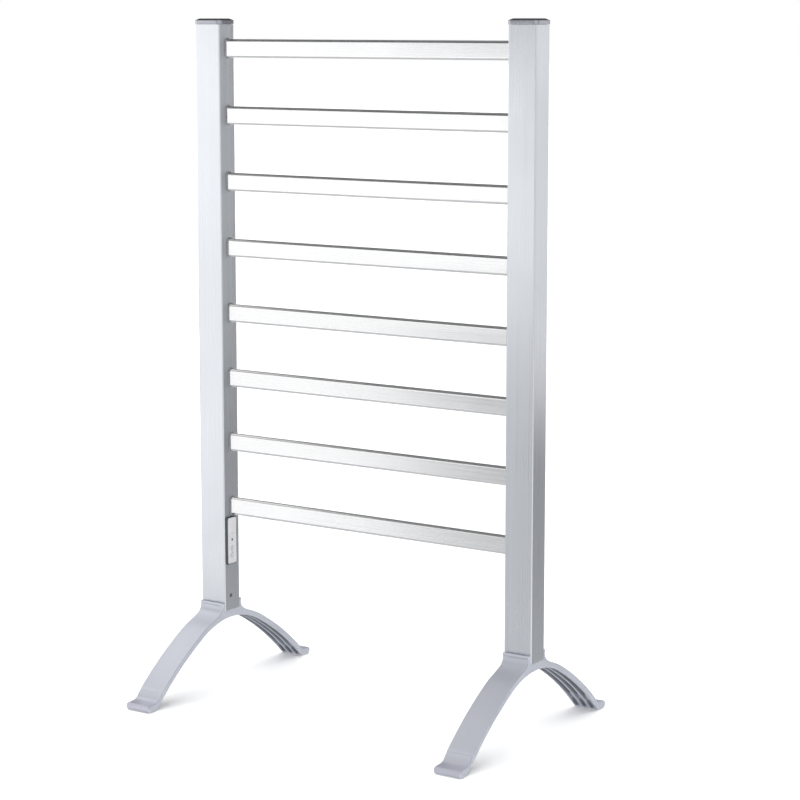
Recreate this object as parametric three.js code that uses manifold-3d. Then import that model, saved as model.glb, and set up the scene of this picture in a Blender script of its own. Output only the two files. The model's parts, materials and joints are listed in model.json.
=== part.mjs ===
// Free-standing towel warmer rack.
// Millimetres, +Z up. The origin is at floor level below the middle of the rack:
// X runs along the bars, the front faces -Y and the control module sits on the left (-X) post.

import * as THREE from 'three';
import { mergeVertices } from 'three/addons/utils/BufferGeometryUtils.js';
import Module from 'manifold-3d';

const wasm = await Module();
wasm.setup();

// ---------------------------------------------------------------- driving dimensions

const rackHeight = 905;
const rackWidth = 524; // over the two posts
const clearance = 0.3; // left between pieces that touch

const postWidth = 40; // along X
const postDepth = 32; // along Y
const postWall = 1.6;
const postCorner = 1.6;
const postX = rackWidth / 2 - postWidth / 2;
const innerFaceX = rackWidth / 2 - postWidth;

const capSide = 5; // height of the cap's upright edge
const capBevel = 2.2; // height of the bevel above it
const capInset = 5.8; // how far the bevel leans in
const capCorner = 6.2;
const capOverhang = 1.7;
const capSkirt = 12;
const capSkirtWall = 1.6;
const postTop = rackHeight - capSide - capBevel - clearance;

const barCount = 8;
const barPitch = 88.2;
const barTopZ = 866; // centre line of the highest bar
const barHeight = 24;
const barDepth = 9;
const barCorner = 3.6;
const barWall = 1.2;
const barY = 1.5; // the bars sit a little behind the middle of the posts
const barOverlap = 9; // length of bar inside each post

const bushSleeve = 1;
const bushFlange = 0.8; // thickness of the flange on the post's inner face
const bushMargin = 1.9;
const bushInside = 3.5;

const footWidth = 38.4; // along X
const footEdge = 1.5; // rounding of the foot's side edges
const archTop = 93; // underside of the arch in the middle
const crownRadius = 125;
const crownAngle = THREE.MathUtils.degToRad(28.5);
const legRadius = 450;
const legThickness = 7.5;
const legEnd = 152; // distance from the middle to where the toe shoe starts
const skinThickness = 2.4; // what the grooves under the leg leave
const grooveWidth = 8.8;
const grooveSpacing = 11.4;
const grooveStart = 44;
const saddleFloor = 103.4;
const saddleGap = 0.5;
const wallTop = 115.5;
const wallOuter = 20.4;
const lipHeight = 3;
const lipReach = 0.9;
const spigotHeight = 34;
const spigotWall = 3;
const postFoot = saddleFloor + 0.6;

const toeTip = 182; // distance from the middle to the tip of the toe
const toeHeight = 9.8;
const heelRadius = 10;
const heelHollowEnd = 166.5; // where the grooves stop, just short of the sole
const soleStart = 168;
const soleEnd = 174;
const tongueLength = 7;
const tongueThickness = 2;

const screwZ = 124;
const screwY = -3.5;
const screwRadius = 1.8;
const screwHeadRadius = 2.6;
const screwHoleRadius = screwHeadRadius + clearance;

const moduleY = -3.8;
const moduleZ = 201.4;
const moduleWidth = 20;
const moduleHeight = 65.6;
const moduleProud = 3.5;
const boxWidth = 14.4;
const boxHeight = 54;
const boxDepth = 17;
const boxWall = 1.4;
const plateWidth = 18;
const plateHeight = 63.4;
const plateThickness = 1.2;
const plateFront = moduleProud + 0.2; // front face of the plate, from the post's face
const powerZ = -10.9; // the controls' heights, from the module's middle
const timerZ = -19.8;
const lampZ = 1.1;
const buttonRadius = 3.4;
const buttonProud = 0.5;
const boardFront = -5; // front face of the circuit board, from the post's face
const boardThickness = 1.6;
const switchHeight = 3.4;

const glandZ = 154;
const glandRadius = 6;
const earthX = -postX - 8;
const earthZ = glandZ + 22;
const earthRadius = 1.8;
const cableRadius = 1.7;
const wireRadius = 1.1;

// ---------------------------------------------------------------- materials

const metal = (color, roughness) => new THREE.MeshStandardMaterial({ color, roughness, metalness: 1 });
const plastic = (color, roughness) => new THREE.MeshStandardMaterial({ color, roughness, metalness: 0 });

const finishes = {
  anodised: () => metal(0xc9cdd2, 0.34),
  barMetal: () => metal(0xdfe1e4, 0.26),
  casting: () => metal(0xb9bdc6, 0.45),
  shoe: () => plastic(0xa9abb8, 0.5),
  cap: () => plastic(0x8b8c95, 0.4),
  bush: () => plastic(0x85868b, 0.55),
  gland: () => plastic(0x36373b, 0.5),
  housing: () => plastic(0x17181b, 0.25),
  plate: () => plastic(0xc4c5c8, 0.4),
  button: () => plastic(0xb4b5b9, 0.45),
  lens: () => plastic(0x2a2c30, 0.12),
  screw: () => metal(0x77787c, 0.4),
  board: () => plastic(0x1f5a34, 0.5),
  component: () => plastic(0x2b2b2e, 0.5),
  lamp: () => plastic(0xd86a2c, 0.3),
  ceramic: () => plastic(0xe6e2d8, 0.5),
  can: () => metal(0xb8b8b8, 0.4),
  cable: () => plastic(0x9c3a30, 0.6),
  brownWire: () => plastic(0x6a4028, 0.55),
  blueWire: () => plastic(0x2f5fa8, 0.55),
};

// ---------------------------------------------------------------- geometry helpers

// A rounded rectangle about (cx, cy), as an outline or as a hole.
function roundedRect(width, height, radius, cx = 0, cy = 0, path = new THREE.Shape()) {
  const x = width / 2 - radius;
  const y = height / 2 - radius;
  path.absarc(cx + x, cy + y, radius, 0, Math.PI / 2);
  path.absarc(cx - x, cy + y, radius, Math.PI / 2, Math.PI);
  path.absarc(cx - x, cy - y, radius, Math.PI, 1.5 * Math.PI);
  path.absarc(cx + x, cy - y, radius, 1.5 * Math.PI, 2 * Math.PI);
  path.closePath();
  return path;
}

// A rectangular ring: the section of a tube.
function tubeSection(width, height, radius, wall) {
  const section = roundedRect(width, height, radius);
  const boreRadius = Math.max(radius - wall, 0.8);
  const bore = new THREE.Path();
  section.holes.push(roundedRect(width - 2 * wall, height - 2 * wall, boreRadius, 0, 0, bore));
  return section;
}

// Extrudes a section along +Z from the given height.
function prism(section, from, to, curveSegments = 1) {
  const options = { depth: to - from, bevelEnabled: false, curveSegments };
  const geometry = new THREE.ExtrudeGeometry(section, options);
  geometry.translate(0, 0, from);
  return geometry;
}

// Turns a shape drawn in (Y, Z) and extruded along Z so that it lies along X.
function layAlongX(geometry) {
  const turn = new THREE.Matrix4().makeBasis(
    new THREE.Vector3(0, 1, 0),
    new THREE.Vector3(0, 0, 1),
    new THREE.Vector3(1, 0, 0),
  );
  return geometry.applyMatrix4(turn);
}

// A prism along X whose section is drawn in (Y, Z).
function prismX(section, from, to, curveSegments = 1) {
  return layAlongX(prism(section, from, to, curveSegments));
}

function boxAt(sizeX, sizeY, sizeZ, x, y, z) {
  return new THREE.BoxGeometry(sizeX, sizeY, sizeZ).translate(x, y, z);
}

// A round bar along X with the given steps of [x, radius], closed at both ends.
function turnedX(steps, segments = 20) {
  const profile = [new THREE.Vector2(0, steps[0][0])];
  for (const [x, radius] of steps) profile.push(new THREE.Vector2(radius, x));
  profile.push(new THREE.Vector2(0, steps[steps.length - 1][0]));
  const geometry = new THREE.LatheGeometry(profile, segments);
  return geometry.rotateZ(-Math.PI / 2);
}

function toManifold(geometry) {
  const bare = geometry.clone();
  bare.deleteAttribute('normal');
  bare.deleteAttribute('uv');
  const merged = mergeVertices(bare, 1e-4);
  const mesh = new wasm.Mesh({
    numProp: 3,
    vertProperties: merged.attributes.position.array,
    triVerts: Uint32Array.from(merged.index.array),
  });
  return new wasm.Manifold(mesh);
}

function fromManifold(manifold) {
  const mesh = manifold.getMesh();
  const geometry = new THREE.BufferGeometry();
  geometry.setAttribute('position', new THREE.BufferAttribute(mesh.vertProperties, 3));
  geometry.setIndex(new THREE.BufferAttribute(mesh.triVerts, 1));
  geometry.computeVertexNormals();
  return geometry;
}

function join(first, ...others) {
  let result = toManifold(first);
  for (const other of others) result = result.add(toManifold(other));
  return fromManifold(result);
}

function cut(base, ...tools) {
  let result = toManifold(base);
  for (const tool of tools) result = result.subtract(toManifold(tool));
  return fromManifold(result);
}

// A polyline with rounded corners that an extrusion follows point by point.
class Route extends THREE.Curve {
  constructor(corners, bend) {
    super();
    this.stops = [corners[0]];
    for (let i = 1; i < corners.length - 1; i += 1) this.addBend(corners, i, bend);
    this.stops.push(corners[corners.length - 1]);
  }

  addBend(corners, i, bend) {
    const towards = (other) => {
      const offset = other.clone().sub(corners[i]);
      return offset.setLength(Math.min(bend, offset.length() / 2.1)).add(corners[i]);
    };
    const arc = new THREE.QuadraticBezierCurve3(towards(corners[i - 1]), corners[i], towards(corners[i + 1]));
    this.stops.push(...arc.getPoints(3));
  }

  getPoint(t) {
    const place = t * (this.stops.length - 1);
    const index = Math.min(Math.floor(place), this.stops.length - 2);
    return this.stops[index].clone().lerp(this.stops[index + 1], place - index);
  }

  getPointAt(t) {
    return this.getPoint(t);
  }

  getTangentAt(t) {
    return this.getTangent(t);
  }
}

// A round wire or cable along a list of [x, y, z] corners.
function wire(corners, radius, bend) {
  const route = new Route(corners.map((corner) => new THREE.Vector3(...corner)), bend);
  const section = new THREE.Shape().absarc(0, 0, radius, 0, 2 * Math.PI);
  const options = { steps: route.stops.length - 1, extrudePath: route, curveSegments: 4 };
  return new THREE.ExtrudeGeometry(section, options);
}

const rack = new THREE.Group();

function place(name, geometry, finish, position = [0, 0, 0], parent = rack) {
  const mesh = new THREE.Mesh(geometry, finishes[finish]());
  mesh.name = name;
  mesh.position.set(...position);
  parent.add(mesh);
  return mesh;
}

const sides = [
  { name: 'left', sign: -1 },
  { name: 'right', sign: 1 },
];

const barHeights = Array.from({ length: barCount }, (_, i) => barTopZ - i * barPitch);

// The bar's section in (Y, Z), grown by a margin.
const barSection = (margin, path) =>
  roundedRect(barDepth + 2 * margin, barHeight + 2 * margin, barCorner + margin, 0, 0, path);

// ---------------------------------------------------------------- posts and caps

// Everything that passes through the post's inner wall, as cutters round the post's own axis.
function postOpenings(sign) {
  const wallFrom = postWidth / 2 - postWall - 1;
  const wallTo = postWidth / 2 + 1;
  const through = (section, y, z) => {
    const [from, to] = sign < 0 ? [wallFrom, wallTo] : [-wallTo, -wallFrom];
    return prismX(section, from, to).translate(0, y, z);
  };
  const holes = barHeights.map((z) => through(barSection(bushSleeve + 2 * clearance), barY, z));
  const screwHole = new THREE.CylinderGeometry(screwHoleRadius, screwHoleRadius, 8, 16).rotateZ(Math.PI / 2);
  holes.push(screwHole.translate(-sign * (postWidth / 2), screwY, screwZ));
  return { through, holes };
}

function leftPostGeometry(tube) {
  const { through, holes } = postOpenings(-1);
  const window = roundedRect(boxWidth + 2 * clearance, boxHeight + 2 * clearance, 1);
  holes.push(through(window, moduleY, moduleZ));
  const glandHole = new THREE.CylinderGeometry(glandRadius + clearance, glandRadius + clearance, 6, 16);
  holes.push(glandHole.translate(0, postDepth / 2, glandZ));
  const earthHole = new THREE.CylinderGeometry(earthRadius + clearance, earthRadius + clearance, 6, 10);
  holes.push(earthHole.translate(earthX + postX, postDepth / 2, earthZ));
  return cut(tube, ...holes);
}

function addPost({ name, sign }) {
  const section = tubeSection(postWidth, postDepth, postCorner, postWall);
  const tube = prism(section, postFoot, postTop);
  const geometry = sign < 0 ? leftPostGeometry(tube) : cut(tube, ...postOpenings(1).holes);
  place(`${name}_upright`, geometry, 'anodised', [sign * postX, 0, 0]);
}

// A bevelled lid on a short skirt that plugs into the post.
function capGeometry() {
  const width = postWidth + 2 * capOverhang;
  const depth = postDepth + 2 * capOverhang;
  const options = {
    depth: 2 * capSide,
    bevelThickness: capBevel,
    bevelSize: capInset,
    bevelOffset: -capInset,
    bevelSegments: 1,
    curveSegments: 2,
  };
  const doubleLid = new THREE.ExtrudeGeometry(roundedRect(width, depth, capCorner), options);
  const lowerHalf = boxAt(60, 60, 20, 0, 0, capSide - 10);
  const lid = cut(doubleLid, lowerHalf).translate(0, 0, -capSide);
  const inner = postWall + clearance;
  const skirt = tubeSection(postWidth - 2 * inner, postDepth - 2 * inner, 1.2, capSkirtWall);
  return join(lid, prism(skirt, -capSkirt, 0.5));
}

function addCap({ name, sign }) {
  const baseZ = rackHeight - capSide - capBevel;
  place(`${name}_top_cap`, capGeometry(), 'cap', [sign * postX, 0, baseZ]);
}

// ---------------------------------------------------------------- bars and bushes

function addBar(z, index) {
  const section = barSection(0);
  section.holes.push(barSection(-barWall, new THREE.Path()));
  const half = innerFaceX + barOverlap;
  place(`bar_${index + 1}`, prismX(section, -half, half), 'barMetal', [0, barY, z]);
}

// A flanged sleeve: the flange stands on the post's inner face and the sleeve lines the hole.
function bushGeometry() {
  const bore = barSection(clearance);
  const flange = prismX(barSection(bushMargin), clearance, bushFlange + clearance);
  const sleeve = prismX(barSection(clearance + bushSleeve), -bushInside, clearance + 0.5);
  return cut(join(flange, sleeve), prismX(bore, -bushInside - 1, bushFlange + 2));
}

function addBushes({ name, sign }) {
  barHeights.forEach((z, index) => {
    const bush = place(`${name}_bush_${index + 1}`, bushGeometry(), 'bush', [sign * innerFaceX, barY, z]);
    bush.rotation.z = sign < 0 ? 0 : Math.PI;
  });
}

// ---------------------------------------------------------------- feet

const crownCentreZ = archTop - crownRadius;
const kneeY = crownRadius * Math.sin(crownAngle);
const kneeZ = crownCentreZ + crownRadius * Math.cos(crownAngle);
const legCentreY = kneeY - legRadius * Math.sin(crownAngle);
const legCentreZ = kneeZ - legRadius * Math.cos(crownAngle);

// The leg's slope angle where a line set off from its underside reaches a distance y.
const legAngleAt = (y, offset) => Math.asin((y - legCentreY) / (legRadius + offset));
const legHeightAt = (y, offset) => legCentreZ + (legRadius + offset) * Math.cos(legAngleAt(y, offset));

// Draws the leg's long curve on the +Y side, outwards or inwards, at an offset from its underside.
function drawLeg(path, offset, fromY, toY) {
  const start = Math.PI / 2 - legAngleAt(fromY, offset);
  const end = Math.PI / 2 - legAngleAt(toY, offset);
  path.absarc(legCentreY, legCentreZ, legRadius + offset, start, end, end < start);
}

// The rear half of the foot's outline in (Y, Z), from the saddle out to the leg's end and back.
function halfFootOutline() {
  const half = new THREE.Path();
  const kneeOuter = kneeY + legThickness * Math.sin(crownAngle);
  const flareEnd = 42;
  const flareAngle = Math.asin(flareEnd / (crownRadius + legThickness));
  const flareZ = crownCentreZ + (crownRadius + legThickness) * Math.cos(flareAngle);
  half.moveTo(0, saddleFloor);
  half.lineTo(postDepth / 2 + saddleGap, saddleFloor);
  half.lineTo(postDepth / 2 + saddleGap, wallTop);
  half.lineTo(wallOuter + lipReach, wallTop);
  half.lineTo(wallOuter + lipReach, wallTop - lipHeight);
  half.lineTo(wallOuter, wallTop - lipHeight - 0.6);
  half.bezierCurveTo(wallOuter + 0.6, 101, flareEnd - 12, flareZ + 5, flareEnd, flareZ);
  const crownOuter = crownRadius + legThickness;
  half.absarc(0, crownCentreZ, crownOuter, Math.PI / 2 - flareAngle, Math.PI / 2 - crownAngle, true);
  drawLeg(half, legThickness, kneeOuter, legEnd);
  half.lineTo(legEnd, legHeightAt(legEnd, 0));
  drawLeg(half, 0, legEnd, kneeY);
  half.absarc(0, crownCentreZ, crownRadius, Math.PI / 2 - crownAngle, Math.PI / 2);
  return half.getPoints(4);
}

// Mirrors a half outline that starts and ends on the middle line into a whole one.
function mirrored(points) {
  const inner = points.filter((point) => point.x > 1e-6);
  const other = inner.map((point) => new THREE.Vector2(-point.x, point.y)).reverse();
  return new THREE.Shape([points[0], ...inner, points[points.length - 1], ...other]);
}

function roundedPlate(section, width, edge) {
  const options = {
    depth: width - 2 * edge,
    bevelThickness: edge,
    bevelSize: edge,
    bevelOffset: -edge,
    bevelSegments: 1,
    curveSegments: 4,
  };
  const plate = new THREE.ExtrudeGeometry(section, options);
  return layAlongX(plate.translate(0, 0, -width / 2 + edge));
}

const grooveCentres = [-grooveSpacing, 0, grooveSpacing];

// The hollow under one leg, up to the skin, as a section in (Y, Z).
function grooveSection(sign) {
  const depth = legThickness - skinThickness;
  const startAngle = Math.asin(grooveStart / (crownRadius + depth));
  const half = new THREE.Path();
  half.moveTo(legEnd + 1, crownCentreZ);
  half.lineTo(grooveStart, crownCentreZ);
  half.absarc(0, crownCentreZ, crownRadius + depth, Math.PI / 2 - startAngle, Math.PI / 2 - crownAngle, true);
  drawLeg(half, depth, kneeY + depth * Math.sin(crownAngle), legEnd + 1);
  const points = half.getPoints(4).map((point) => new THREE.Vector2(sign * point.x, point.y));
  return new THREE.Shape(points);
}

function footGeometry(screwSide) {
  const body = roundedPlate(mirrored(halfFootOutline()), footWidth, footEdge);
  const tools = [];
  for (const sign of [-1, 1]) {
    const section = grooveSection(sign);
    for (const x of grooveCentres) {
      tools.push(prismX(section, x - grooveWidth / 2, x + grooveWidth / 2));
    }
  }
  const reach = postWall + 2 * clearance;
  const outer = roundedRect(postWidth - 2 * reach, postDepth - 2 * reach, 1.5);
  const hollow = roundedRect(postWidth - 2 * (reach + spigotWall), postDepth - 2 * (reach + spigotWall), 1);
  const spigotTop = saddleFloor + spigotHeight;
  const spigot = prism(outer, saddleFloor - 1, spigotTop);
  tools.push(prism(hollow, saddleFloor, spigotTop + 1));
  const screwBore = new THREE.CylinderGeometry(screwRadius + clearance, screwRadius + clearance, 14, 12);
  screwBore.rotateZ(Math.PI / 2);
  tools.push(screwBore.translate(screwSide * (postWidth / 2 - 6), screwY, screwZ));
  return cut(join(body, spigot), ...tools);
}

// The toe shoe's outline on the +Y side, from the leg's end over the tip and back along the sole.
function shoeOutline() {
  const start = legEnd + clearance;
  const slope = legAngleAt(legEnd, legThickness);
  const creaseRadius = 13;
  const creaseEndY = 167.6;
  const creaseCentreZ = toeHeight + creaseRadius + 0.7;
  const heelAngle = legAngleAt(soleStart - heelRadius * 0.68, 0);
  const outline = new THREE.Shape();
  outline.moveTo(start, legHeightAt(start, 0));
  outline.lineTo(start, legHeightAt(start, legThickness));
  outline.absarc(creaseEndY, creaseCentreZ, creaseRadius, 1.5 * Math.PI - slope, 1.5 * Math.PI - 0.06);
  outline.absarc(toeTip - 5, toeHeight - 4.2, 4.2, Math.PI / 2, 0, true);
  outline.absarc(toeTip - 4.2, 4.8, 3.6, 0, -Math.PI / 2 - 0.2, true);
  outline.lineTo(soleEnd, 0);
  outline.lineTo(soleStart, 0);
  outline.absarc(soleStart, heelRadius, heelRadius, 1.5 * Math.PI, 1.5 * Math.PI - heelAngle, true);
  return new THREE.Shape(outline.getPoints(3));
}

// The leg's grooves run on under the shoe's heel, almost to the sole. A section in (Y, Z).
function heelHollow(offset) {
  const from = legEnd - 1;
  const steps = [0, 0.25, 0.5, 0.75, 1].map((step) => THREE.MathUtils.lerp(heelHollowEnd, from, step));
  const ceiling = steps.map((y) => new THREE.Vector2(y, legHeightAt(y, offset)));
  return new THREE.Shape([new THREE.Vector2(from, -1), new THREE.Vector2(heelHollowEnd, -1), ...ceiling]);
}

// Thin tongues on the shoe slide into the grooves, close under the skin.
function shoeGeometry() {
  const body = roundedPlate(shoeOutline(), footWidth, footEdge + 0.3);
  const top = legThickness - skinThickness - 0.35;
  const margin = top - tongueThickness;
  const from = legEnd - tongueLength;
  const tongue = new THREE.Shape([
    new THREE.Vector2(from, legHeightAt(from, margin)),
    new THREE.Vector2(legEnd + 2, legHeightAt(legEnd + 2, margin)),
    new THREE.Vector2(legEnd + 2, legHeightAt(legEnd + 2, top)),
    new THREE.Vector2(from, legHeightAt(from, top)),
  ]);
  const width = grooveWidth / 2 - clearance;
  const tongues = grooveCentres.map((x) => prismX(tongue, x - width, x + width));
  const hollow = heelHollow(margin + 0.5);
  const hollows = grooveCentres.map((x) => prismX(hollow, x - grooveWidth / 2, x + grooveWidth / 2));
  return join(cut(body, ...hollows), ...tongues);
}

function addFoot({ name, sign }) {
  const foot = new THREE.Group();
  foot.position.x = sign * postX;
  rack.add(foot);
  place(`${name}_foot`, footGeometry(-sign), 'casting', [0, 0, 0], foot);
  place(`${name}_rear_shoe`, shoeGeometry(), 'shoe', [0, 0, 0], foot);
  const frontShoe = place(`${name}_front_shoe`, shoeGeometry(), 'shoe', [0, 0, 0], foot);
  frontShoe.rotation.z = Math.PI;
}

// A screw whose head sits in the post's wall and whose shank goes into the foot's spigot.
function addFootScrew({ name, sign }) {
  const seat = -postWall - clearance;
  const steps = [
    [seat - 9, screwRadius * 0.5],
    [seat - 7.5, screwRadius],
    [seat, screwRadius],
    [seat, screwHeadRadius],
    [seat + 1, screwHeadRadius],
    [seat + 1.5, screwHeadRadius - 0.7],
  ];
  const socket = boxAt(2, 2.8, 0.7, seat + 1.6, 0, 0);
  const crossSocket = boxAt(2, 0.7, 2.8, seat + 1.6, 0, 0);
  const geometry = cut(turnedX(steps, 12), socket, crossSocket);
  const screw = place(`${name}_foot_screw`, geometry, 'screw', [sign * innerFaceX, screwY, screwZ]);
  screw.rotation.z = sign < 0 ? 0 : Math.PI;
}

// ---------------------------------------------------------------- control module

// Local x = 0 is the left post's inner face and local +X points away from it.
const controls = new THREE.Group();
controls.position.set(-innerFaceX, moduleY, moduleZ);
rack.add(controls);

function addHousing() {
  const bezel = prismX(roundedRect(moduleWidth, moduleHeight, 2.6), clearance, moduleProud);
  const box = prismX(roundedRect(boxWidth, boxHeight, 1.2), -boxDepth, 1);
  const room = roundedRect(boxWidth - 2 * boxWall, boxHeight - 2 * boxWall, 0.8);
  const recess = roundedRect(plateWidth + 2 * clearance, plateHeight + 2 * clearance, 2);
  const plateBack = plateFront - plateThickness - clearance;
  const leadSlot = boxAt(6, 8, 13, -boxDepth, 0, -18.5);
  const housing = cut(
    join(bezel, box),
    prismX(room, boxWall - boxDepth, moduleProud + 1),
    prismX(recess, plateBack, moduleProud + 1),
    leadSlot,
  );
  place('control_housing', housing, 'housing', [0, 0, 0], controls);
}

function addFacePlate() {
  const plate = roundedRect(plateWidth, plateHeight, 1.8);
  for (const z of [powerZ, timerZ]) {
    plate.holes.push(new THREE.Path().absarc(0, z, buttonRadius + 0.4, 0, 2 * Math.PI));
  }
  plate.holes.push(new THREE.Path().absarc(0, lampZ, 1.9, 0, 2 * Math.PI));
  const geometry = prismX(plate, plateFront - plateThickness, plateFront, 6);
  place('control_face_plate', geometry, 'plate', [0, 0, 0], controls);
}

// A cap with a retaining flange behind the plate and a stem that reaches the switch.
function addButton(name, z) {
  const front = plateFront + buttonProud;
  const flange = plateFront - plateThickness - clearance;
  const stem = boardFront + clearance + switchHeight + 0.9;
  const steps = [
    [stem, 1.5],
    [flange - 1, 1.5],
    [flange - 1, buttonRadius + 1],
    [flange, buttonRadius + 1],
    [flange, buttonRadius],
    [front - 0.3, buttonRadius],
    [front, buttonRadius - 0.4],
  ];
  place(name, turnedX(steps, 16), 'button', [0, 0, z], controls);
}

function addLens() {
  const steps = [
    [plateFront - 2.6, 1.2],
    [plateFront - 1.5, 1.5],
    [plateFront, 1.5],
    [plateFront + 0.15, 1],
  ];
  place('indicator_lens', turnedX(steps, 12), 'lens', [0, 0, lampZ], controls);
}

function addBoard() {
  const back = boardFront - boardThickness;
  const board = boxAt(boardThickness, 10.6, 49, (boardFront + back) / 2, 0, 0);
  place('circuit_board', board, 'board', [0, 0, 0], controls);
  place('relay', boxAt(6.6, 9, 14, back - clearance - 3.3, 0, 12), 'component', [0, 0, 0], controls);
  const switchBody = boardFront + clearance;
  for (const [name, z] of [['power_switch', powerZ], ['timer_switch', timerZ]]) {
    const body = boxAt(2.4, 6, 6, switchBody + 1.2, 0, 0);
    const plunger = turnedX([[switchBody + 2, 1.6], [switchBody + switchHeight, 1.4]], 12);
    place(name, join(body, plunger), 'component', [0, 0, z], controls);
  }
  const lampSteps = [
    [switchBody, 1.9],
    [switchBody + 0.8, 1.9],
    [switchBody + 0.8, 1.5],
    [switchBody + 3.2, 1.5],
    [switchBody + 4.2, 0.9],
  ];
  place('indicator_lamp', turnedX(lampSteps, 10), 'lamp', [0, 0, lampZ], controls);
}

// ---------------------------------------------------------------- heating circuit

const blockX = -postX - 10;
const blockZ = 172;
const returnX = -postX - 9;
const returnY = 9;
const turnX = postX; // where the cable climbs inside the posts
const cutoutZ = 262;

// One cable: up from the terminal block, to and fro through the bars from the lowest to the highest,
// then down the back of the left post to the thermal cut-out.
function addHeatingCable() {
  const rising = [...barHeights].reverse();
  const corners = [
    [blockX, -3, blockZ + 7 + clearance],
    [blockX, -3, rising[0] - 10],
    [-turnX, barY, rising[0]],
  ];
  rising.forEach((z, index) => {
    const outward = index % 2 === 0 ? 1 : -1;
    if (index > 0) corners.push([-outward * turnX, barY, z]);
    corners.push([outward * turnX, barY, z]);
  });
  corners.push([returnX, returnY, rising[barCount - 1] - 12]);
  corners.push([returnX, returnY, cutoutZ + 9 + clearance]);
  place('heating_cable', wire(corners, cableRadius, 7), 'cable');
}

function addTerminals() {
  place('terminal_block', boxAt(12, 16, 14, blockX, 0, blockZ), 'ceramic');
  const capsule = new THREE.CylinderGeometry(3, 3, 18, 16).rotateX(Math.PI / 2);
  place('thermal_cutout', capsule, 'can', [returnX, returnY, cutoutZ]);
  const lead = [
    [returnX, returnY, cutoutZ - 9 - clearance],
    [returnX, returnY, blockZ + 24],
    [blockX, 5, blockZ + 16],
    [blockX, 5, blockZ + 7 + clearance],
  ];
  place('cutout_lead', wire(lead, wireRadius, 6), 'cable');
  const boardLead = [
    [blockX + 6 + clearance, 0, blockZ + 2],
    [blockX + 10, 0, blockZ + 2],
    [-innerFaceX - boxDepth + boxWall + 0.6, moduleY, moduleZ - 18],
    [-innerFaceX + boardFront - boardThickness - clearance, moduleY, moduleZ - 18],
  ];
  place('board_lead', wire(boardLead, wireRadius, 3), 'brownWire');
}

// The supply's way in at the rear of the left post: a hollow gland, held by a nut inside.
function addGland() {
  const faceY = postDepth / 2;
  const profile = [
    [3.2, -8],
    [glandRadius - 0.2, -8],
    [glandRadius - 0.2, clearance],
    [8.5, clearance],
    [8.5, 5],
    [6.6, 11],
    [5, 12.5],
    [3.2, 12.5],
    [3.2, -8],
  ].map(([radius, along]) => new THREE.Vector2(radius, along));
  const gland = new THREE.LatheGeometry(profile, 16);
  place('cord_gland', gland, 'gland', [-postX, faceY, glandZ]);
  const nut = new THREE.Shape();
  for (let i = 0; i < 6; i += 1) {
    const angle = (i * Math.PI) / 3;
    nut[i === 0 ? 'moveTo' : 'lineTo'](9 * Math.cos(angle), 9 * Math.sin(angle));
  }
  nut.holes.push(new THREE.Path().absarc(0, 0, glandRadius + clearance, 0, 2 * Math.PI));
  const nutGeometry = prism(nut, 0, 4, 8).rotateX(Math.PI / 2);
  place('gland_nut', nutGeometry, 'gland', [-postX, faceY - postWall - clearance, glandZ]);
}

function addSupplyWires() {
  const mouth = postDepth / 2 - 9;
  const wires = [
    ['live_wire', 'brownWire', -postX - 1.2, blockX - 2.5, 3],
    ['neutral_wire', 'blueWire', -postX + 1.6, blockX + 2.5, -3],
  ];
  for (const [name, finish, fromX, toX, toY] of wires) {
    const corners = [
      [fromX, mouth, glandZ],
      [fromX, toY, glandZ],
      [toX, toY, glandZ + 2],
      [toX, toY, blockZ - 7 - clearance],
    ];
    place(name, wire(corners, wireRadius, 3), finish);
  }
  const steps = [
    [-6, earthRadius - 0.4],
    [-5.4, earthRadius],
    [clearance, earthRadius],
    [clearance, 3.4],
    [clearance + 1.6, 3.4],
    [clearance + 2.2, 2.6],
  ];
  const earthScrew = turnedX(steps, 10).rotateZ(Math.PI / 2);
  place('earth_screw', earthScrew, 'screw', [earthX, postDepth / 2, earthZ]);
}

// ---------------------------------------------------------------- assembly

for (const side of sides) {
  addPost(side);
  addCap(side);
  addBushes(side);
  addFoot(side);
  addFootScrew(side);
}
barHeights.forEach(addBar);
addHousing();
addFacePlate();
addButton('power_button', powerZ);
addButton('timer_button', timerZ);
addLens();
addBoard();
addHeatingCable();
addTerminals();
addGland();
addSupplyWires();

export default rack;
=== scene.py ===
import json
import math

import bmesh
import bpy
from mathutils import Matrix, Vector


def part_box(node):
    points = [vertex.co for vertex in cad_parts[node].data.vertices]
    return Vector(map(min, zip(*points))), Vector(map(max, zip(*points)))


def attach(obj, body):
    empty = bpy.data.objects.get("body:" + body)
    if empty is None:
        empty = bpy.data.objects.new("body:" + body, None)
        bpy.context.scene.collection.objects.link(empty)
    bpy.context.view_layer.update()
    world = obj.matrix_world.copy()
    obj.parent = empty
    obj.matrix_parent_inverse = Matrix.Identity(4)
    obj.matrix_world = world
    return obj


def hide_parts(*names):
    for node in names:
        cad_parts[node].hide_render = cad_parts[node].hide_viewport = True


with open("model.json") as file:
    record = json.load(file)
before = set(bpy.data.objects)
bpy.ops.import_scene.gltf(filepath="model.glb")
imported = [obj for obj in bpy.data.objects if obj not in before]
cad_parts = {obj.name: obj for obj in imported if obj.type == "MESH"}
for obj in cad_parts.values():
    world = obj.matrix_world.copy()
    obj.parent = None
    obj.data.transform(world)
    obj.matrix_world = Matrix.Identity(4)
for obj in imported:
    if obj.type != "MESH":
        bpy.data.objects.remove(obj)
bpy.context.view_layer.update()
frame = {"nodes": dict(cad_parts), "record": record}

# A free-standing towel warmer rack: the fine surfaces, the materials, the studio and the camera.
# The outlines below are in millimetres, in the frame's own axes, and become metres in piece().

MM = 0.001
SHARP_ANGLE = math.radians(34)
MERGE_DISTANCE = 0.002  # mm

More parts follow.
